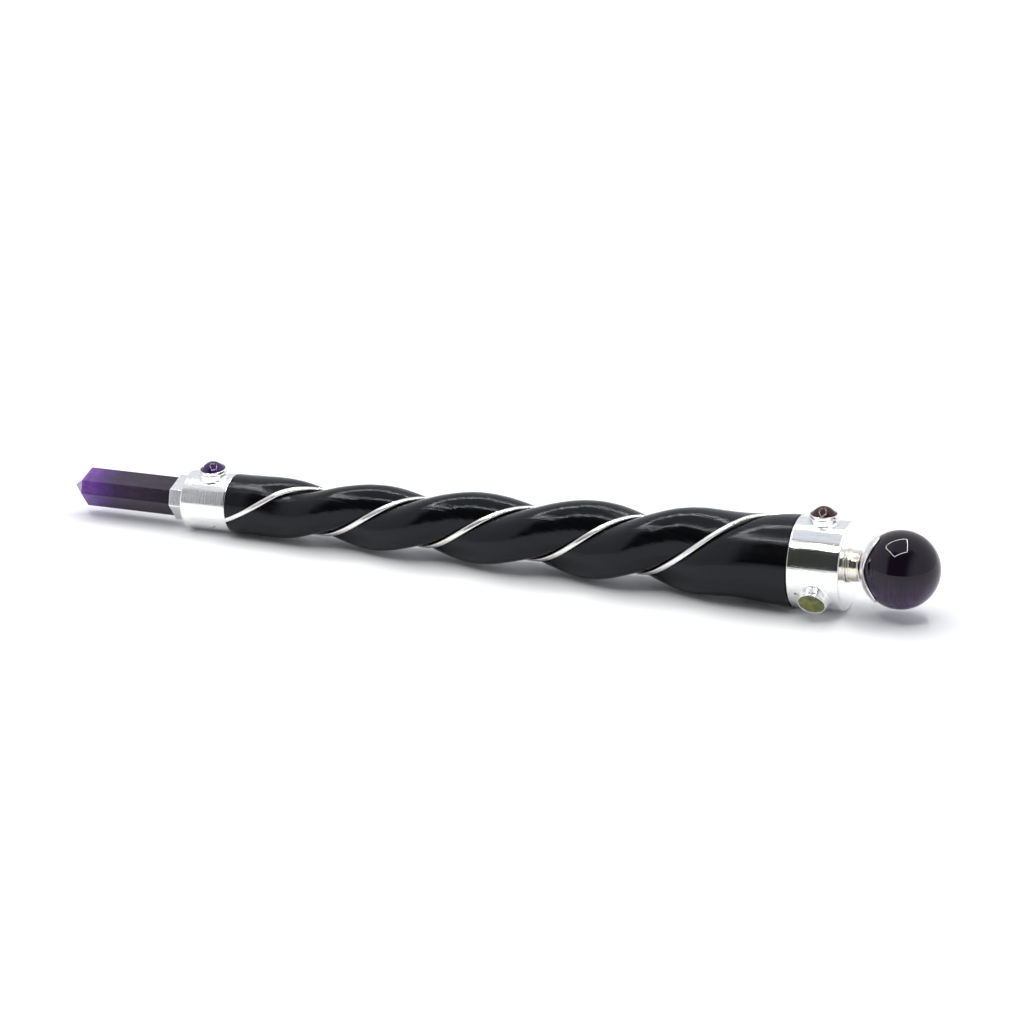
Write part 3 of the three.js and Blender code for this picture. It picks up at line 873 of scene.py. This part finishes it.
def make_stone(kind, name, x, azimuth, ferrule_radius, material, slot):
    """A stone and its bezel, set on a ferrule at an azimuth."""
    place = outward(x, azimuth)
    kind(f"{name}_stone", place, ferrule_radius, material, slot, name)
    make_bezel(f"{name}_setting", place, ferrule_radius, f"{name}_bezel")


# ------------------------------------------------------------------ neck, petal cup and ball

BALL_ROWS = 96
BALL_SIDES = 144


def make_neck():
    """A short tube with a flange at the disc and a slight flare under the petal cup."""
    front, back = NECK_X
    flange_height, flange_length = NECK_FLANGE
    outline = rounded([
        (front, STEM_HOLE_RADIUS, 0),
        (front, NECK_RADIUS + flange_height, NECK_ROUND),
        (front + flange_length, NECK_RADIUS + flange_height, NECK_ROUND),
        (front + flange_length + 0.2, NECK_RADIUS, NECK_ROUND),
        (back - 0.55, NECK_RADIUS, NECK_ROUND),
        (back - 0.1, NECK_RADIUS + 0.25, NECK_ROUND),
        (back - 0.95, STEM_HOLE_RADIUS, 0),
        (front, STEM_HOLE_RADIUS, 0),
    ], 6)
    points, faces = revolved(outline, SIDES)
    return make("hammered_neck", points, faces, HAMMERED_SILVER, ["neck"], TAIL,
                sharp_over=60)


def petal_edge(azimuth):
    """How far from the ball's back pole the cup's edge lies, in radians."""
    turns = (np.degrees(azimuth) - CLAW_AZIMUTH) / (360 / CLAW_COUNT)
    from_tip = np.abs(turns - np.round(turns)) * 2
    fall = np.sin(from_tip * (math.pi / 2)) ** 1.5
    return np.radians(CLAW_TIP_ANGLE - (CLAW_TIP_ANGLE - CLAW_VALLEY_ANGLE) * fall)


def make_petal_cup():
    """A thin cup on the ball's back, cut into three pointed petals."""
    inner = BALL_RADIUS + CLAW_GAP
    outer = inner + CLAW_WALL
    middle = (inner + outer) / 2
    azimuth = np.linspace(0, 2 * math.pi, CUP_SIDES, endpoint=False)
    edge = petal_edge(azimuth)
    rings = []
    for share in np.linspace(0, 1, 26):
        angle = CLAW_HOLE + share * (edge - CLAW_HOLE)
        rings.append(around_axis(BALL_X - outer * np.cos(angle), outer * np.sin(angle), azimuth))
    for turn in np.linspace(0, math.pi, 7)[1:-1]:
        radius = middle + CLAW_WALL / 2 * math.cos(turn)
        angle = edge + CLAW_WALL / 2 * math.sin(turn) / middle
        rings.append(around_axis(BALL_X - radius * np.cos(angle), radius * np.sin(angle), azimuth))
    for share in np.linspace(1, 0, 12):
        angle = CLAW_HOLE + share * (edge - CLAW_HOLE)
        rings.append(around_axis(BALL_X - inner * np.cos(angle), inner * np.sin(angle), azimuth))
    points, faces = skin(np.array(rings), closed=True)
    return make("claw_cup", points, faces, SILVER, ["petal_cup"], TAIL, sharp_over=70)


def make_ball():
    """Turned about its own centre, with the stem's socket at the back."""
    start = math.asin(SOCKET_RADIUS / BALL_RADIUS)
    bottom = SOCKET_DEPTH - BALL_RADIUS
    outline = [(bottom, 0), (bottom, SOCKET_RADIUS)]
    for angle in np.linspace(start, math.pi, BALL_ROWS):
        radius = BALL_RADIUS * math.sin(angle) if angle < math.pi else 0
        outline.append((-BALL_RADIUS * math.cos(angle), radius))
    points, faces = revolved(outline, BALL_SIDES)
    place = TAIL @ Matrix.Translation((BALL_X, 0, 0))
    return make("amethyst_ball", points, faces, BALL_AMETHYST, ["ball"], place,
                sharp_over=50)


# ------------------------------------------------------------------ the wand

make_point()
make_tip_cup()
make_ferrule("front_collar", FRONT_FERRULE_X, (FRONT_FERRULE_RADIUS, FRONT_FERRULE_RADIUS),
             "front_ferrule")
make_front_disc()
make_shaft()
for number in range(2):
    make_wire(number)
make_ferrule("rear_collar", REAR_FERRULE_X, REAR_FERRULE_RADIUS, "rear_ferrule")
make_rear_disc()
make_neck()
make_petal_cup()
make_ball()

make_stone(make_cabochon, "amethyst_cabochon", FRONT_STONE_X, FRONT_STONE_AZIMUTH,
           FRONT_FERRULE_RADIUS, CABOCHON_AMETHYST, "cabochon_amethyst")
rear_radius = np.interp(REAR_STONE_X, REAR_FERRULE_X, REAR_FERRULE_RADIUS)
rear_stones = (
    (make_cabochon, "garnet_cabochon", GARNET, "garnet"),
    (make_faceted, "peridot", PERIDOT, "peridot"),
    (make_faceted, "blue_topaz", TOPAZ, "topaz"),
)
for turn, (kind, name, material, slot) in enumerate(rear_stones):
    azimuth = REAR_STONE_AZIMUTH - 360 / len(rear_stones) * turn
    make_stone(kind, name, REAR_STONE_X, azimuth, rear_radius, material, slot)

# The stem and the brads keep their CAD shapes and only get their steel here.
for name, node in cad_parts.items():
    if name == "stem" or "brad" in name:
        node.data.materials.clear()
        node.data.materials.append(STEEL)

# ------------------------------------------------------------------ table, room and light

FLOOR_HALF = 4.0
FLOOR_GLOW = 0.45
FLOOR_GLOW_FROM = (0.2, 0.8)

ROOM_BRIGHTNESS = 0.87
WALLS = rgb(0.955, 0.975, 1.03)
OVERHEAD = rgb(0.79, 0.84, 0.90)
OPENING = rgb(0.045, 0.048, 0.045)
# The soft edges of the tent's front opening, in coordinates of a unit vector.
OPENING_LEFT = (-0.56, -0.37)
OPENING_RIGHT = (0.35, 0.80)
OPENING_TOP = (1.10, 1.20)
OPENING_TOP_SLOPE = 0.9
OPENING_SLOPES_FROM = -0.25
OPENING_FRONT = (-0.02, 0.0)
OVERHEAD_FROM = (0.93, 0.99)

LAMP_OFFSET = (-0.10, -0.075, 0.75)
LAMP_CORNERS = ((-0.34, 0.33), (0.31, 0.44), (0.28, -0.21), (-0.25, -0.40), (-0.42, 0.22))
LAMP_WIDTH = 0.014
LAMP_POWER = 6.2

CAMERA_AZIMUTH = 21.05
CAMERA_ELEVATION = 18.68
CAMERA_LENS = 100
# The ball's place as the camera sees it: to the right, below its middle, and away from it.
BALL_RIGHT, BALL_BELOW, BALL_AWAY = 96.91 * MM, 14.75 * MM, 708.98 * MM


def make_floor():
    """A white table top that glows faintly far from the wand, like a lit sweep."""
    mesh = bpy.data.meshes.new("table_top")
    corners = [(x * FLOOR_HALF, y * FLOOR_HALF, 0) for x, y in ((-1, -1), (1, -1), (1, 1), (-1, 1))]
    mesh.from_pydata(corners, [], [(0, 1, 2, 3)])
    material, tree, shader = new_material("white_table", Base_Color=rgb(0.94, 0.945, 0.955),
                                          Roughness=0.8)
    place = add_node(tree, "ShaderNodeTexCoord").outputs["Object"]
    away = add_node(tree, "ShaderNodeVectorMath", {0: place}, operation="LENGTH").outputs["Value"]
    tree.links.new(remap(tree, away, *FLOOR_GLOW_FROM, 0, FLOOR_GLOW, True),
                   shader.inputs["Emission Strength"])
    shader.inputs["Emission Color"].default_value = rgb(1, 1, 1)
    mesh.materials.append(material)
    floor = bpy.data.objects.new("table_top", mesh)
    bpy.context.collection.objects.link(floor)


def make_room():
    """A white photo tent, a little dimmer and bluer overhead, with a dark opening in front."""
    world = bpy.data.worlds.new("white_room")
    bpy.context.scene.world = world
    world.use_nodes = True
    tree = world.node_tree
    direction = add_node(tree, "ShaderNodeTexCoord").outputs["Generated"]
    parts = add_node(tree, "ShaderNodeSeparateXYZ", {0: direction})
    x, y, z = (parts.outputs[axis] for axis in "XYZ")
    left = remap(tree, x, *OPENING_LEFT, 0, 1, True)
    right = remap(tree, x, *OPENING_RIGHT, 1, 0, True)
    slope = math_node(tree, "MULTIPLY", math_node(tree, "MINIMUM", x, OPENING_SLOPES_FROM),
                      -OPENING_TOP_SLOPE)
    low = remap(tree, math_node(tree, "ADD", z, slope), *OPENING_TOP, 1, 0, True)
    front = remap(tree, y, *OPENING_FRONT, 1, 0, True)
    opening = math_node(tree, "MULTIPLY", math_node(tree, "MULTIPLY", left, right),
                        math_node(tree, "MULTIPLY", low, front))
    walls = mix_colour(tree, remap(tree, z, *OVERHEAD_FROM, 0, 1, True), WALLS, OVERHEAD)
    colour = mix_colour(tree, opening, walls, OPENING)
    background = tree.nodes["Background"]
    tree.links.new(colour, background.inputs["Color"])
    background.inputs["Strength"].default_value = ROOM_BRIGHTNESS


def make_lamp():
    """A five-sided ring of strip lamps hung over the table, a little in front of the ball."""
    middle = WAND @ Vector((BALL_X, 0, 0)) + Vector(LAMP_OFFSET)
    turned = Matrix.Rotation(math.radians(CAMERA_AZIMUTH), 4, "Z")
    corners = [middle + turned @ Vector((*corner, 0)) for corner in LAMP_CORNERS]
    perimeter = sum((corners[k] - corners[k - 1]).length for k in range(len(corners)))
    for k, corner in enumerate(corners):
        side = corner - corners[k - 1]
        light = bpy.data.lights.new(f"strip_{k + 1}", "AREA")
        light.shape = "RECTANGLE"
        light.size = side.length
        light.size_y = LAMP_WIDTH
        light.energy = LAMP_POWER * side.length / perimeter
        light.color = (1, 0.985, 0.955)
        strip = bpy.data.objects.new(f"strip_{k + 1}", light)
        bpy.context.collection.objects.link(strip)
        strip.location = corner - side / 2
        strip.rotation_euler = (0, 0, math.atan2(side.y, side.x))


def make_camera():
    """A camera that looks at the wand from in front, right of the middle and above."""
    azimuth, elevation = math.radians(CAMERA_AZIMUTH), math.radians(CAMERA_ELEVATION)
    right = Vector((math.cos(azimuth), math.sin(azimuth), 0))
    level = math.cos(elevation)
    back = Vector((math.sin(azimuth) * level, -math.cos(azimuth) * level, math.sin(elevation)))
    up = back.cross(right)
    ball = WAND @ Vector((BALL_X, 0, 0))
    camera = bpy.data.cameras.new("camera")
    camera.lens = CAMERA_LENS
    camera.sensor_width = 36
    camera.clip_start = 0.01
    holder = bpy.data.objects.new("camera", camera)
    bpy.context.collection.objects.link(holder)
    turned = Matrix((right, up, back)).transposed().to_4x4()
    place = ball - BALL_RIGHT * right + BALL_BELOW * up + BALL_AWAY * back
    holder.matrix_world = Matrix.Translation(place) @ turned
    bpy.context.scene.camera = holder


make_floor()
make_room()
make_lamp()
make_camera()
bpy.context.scene.view_settings.view_transform = "Standard"
